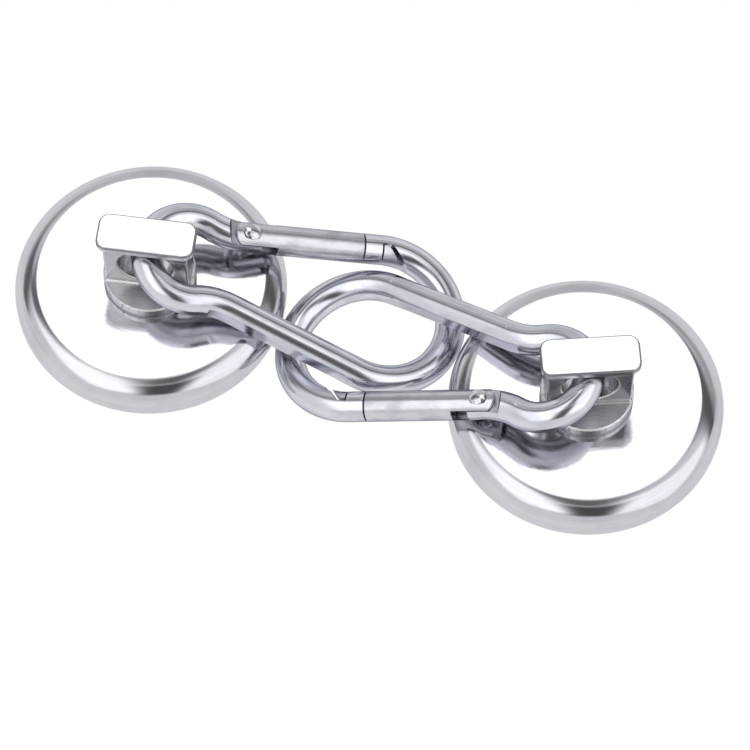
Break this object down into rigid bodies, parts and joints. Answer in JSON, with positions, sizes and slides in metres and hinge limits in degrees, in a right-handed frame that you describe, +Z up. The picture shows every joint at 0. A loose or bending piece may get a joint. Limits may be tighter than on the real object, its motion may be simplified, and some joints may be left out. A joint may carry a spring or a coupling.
{
  "type": "magnet fishing magnet",
  "caption": "Pair of round pot magnets, each with a milled eye lug, joined by two linked spring-gate snap hooks.",
  "frame": {"origin": "midway between the two magnets, on the plane of their working faces", "axes": "+X along the chain from the left magnet to the right, +Y across it towards the left hook's gate, +Z up from the working faces to the lugs"},
  "size_m": [0.2392, 0.09, 0.0459],
  "materials": {
    "polished_chrome": "polished nickel or chrome plate, mirror-like",
    "plated_magnet": "nickel plate, satin",
    "black_resin": "cast epoxy resin",
    "zinc_fastener": "bright zinc plate",
    "milled_steel": "milled stainless steel, fine tool marks",
    "polished_wire": "polished stainless steel wire",
    "brushed_gate": "turned stainless steel, brushed lengthwise",
    "rivet_steel": "headed steel rivet, bright",
    "spring_steel": "spring steel wire"
  },
  "bodies": {
    "magnet_left": {"left_pot_shell": "polished_chrome", "left_magnet_ring": "plated_magnet", "left_resin_ring": "black_resin", "left_lock_nut": "zinc_fastener", "left_lug_washer": "zinc_fastener", "left_eye_lug": "milled_steel"},
    "hook_left": {"left_hook_body": "polished_wire"},
    "gate_left": {"left_gate": "brushed_gate", "left_gate_rivet": "rivet_steel", "left_gate_spring": "spring_steel"},
    "plunger_left": {"left_gate_plunger": "zinc_fastener"},
    "hook_right": {"right_hook_body": "polished_wire"},
    "gate_right": {"right_gate": "brushed_gate", "right_gate_rivet": "rivet_steel", "right_gate_spring": "spring_steel"},
    "plunger_right": {"right_gate_plunger": "zinc_fastener"},
    "magnet_right": {"right_pot_shell": "polished_chrome", "right_magnet_ring": "plated_magnet", "right_resin_ring": "black_resin", "right_lock_nut": "zinc_fastener", "right_lug_washer": "zinc_fastener", "right_eye_lug": "milled_steel"}
  },
  "joints": [
    {"name": "left_swing", "type": "hinge", "parent": "magnet_left", "child": "hook_left", "pos_m": [-0.0746, 0, 0.0335], "axis": [0.1633, -0.9866, 0], "range_deg": [0, 205]},
    {"name": "link_fold", "type": "hinge", "parent": "hook_left", "child": "hook_right", "pos_m": [0, 0, 0.0129], "axis": [0, -1, 0], "range_deg": [0, 65]},
    {"name": "right_swing", "type": "hinge", "parent": "hook_right", "child": "magnet_right", "pos_m": [0.0746, 0, 0.0335], "axis": [0.3535, -0.9354, 0], "range_deg": [0, 205]},
    {"name": "left_gate_hinge", "type": "hinge", "parent": "hook_left", "child": "gate_left", "pos_m": [-0.04622, 0.01905, 0.0263], "axis": [-0.2785, 0, -0.9604], "range_deg": [0, 3], "stiffness_Nm_per_rad": 0.15, "springref_deg": -17.19},
    {"name": "right_gate_hinge", "type": "hinge", "parent": "hook_right", "child": "gate_right", "pos_m": [0.0439, -0.01723, 0.02563], "axis": [0.2785, 0, -0.9604], "range_deg": [0, 3.3], "stiffness_Nm_per_rad": 0.15, "springref_deg": -17.19},
    {"name": "left_plunger_slide", "type": "slide", "parent": "gate_left", "child": "plunger_left", "axis": [0.9086, 0.3239, -0.2635], "range_m": [0, 0.0012], "deforming": ["left_gate_spring"]},
    {"name": "right_plunger_slide", "type": "slide", "parent": "gate_right", "child": "plunger_right", "axis": [-0.9474, -0.1642, -0.2747], "range_m": [0, 0.0012], "deforming": ["right_gate_spring"]}
  ],
  "couplings": [
    {"joint": "left_plunger_slide", "follows": "left_gate_hinge", "m_per_rad": 0.00225},
    {"joint": "right_plunger_slide", "follows": "right_gate_hinge", "m_per_rad": 0.00225}
  ]
}
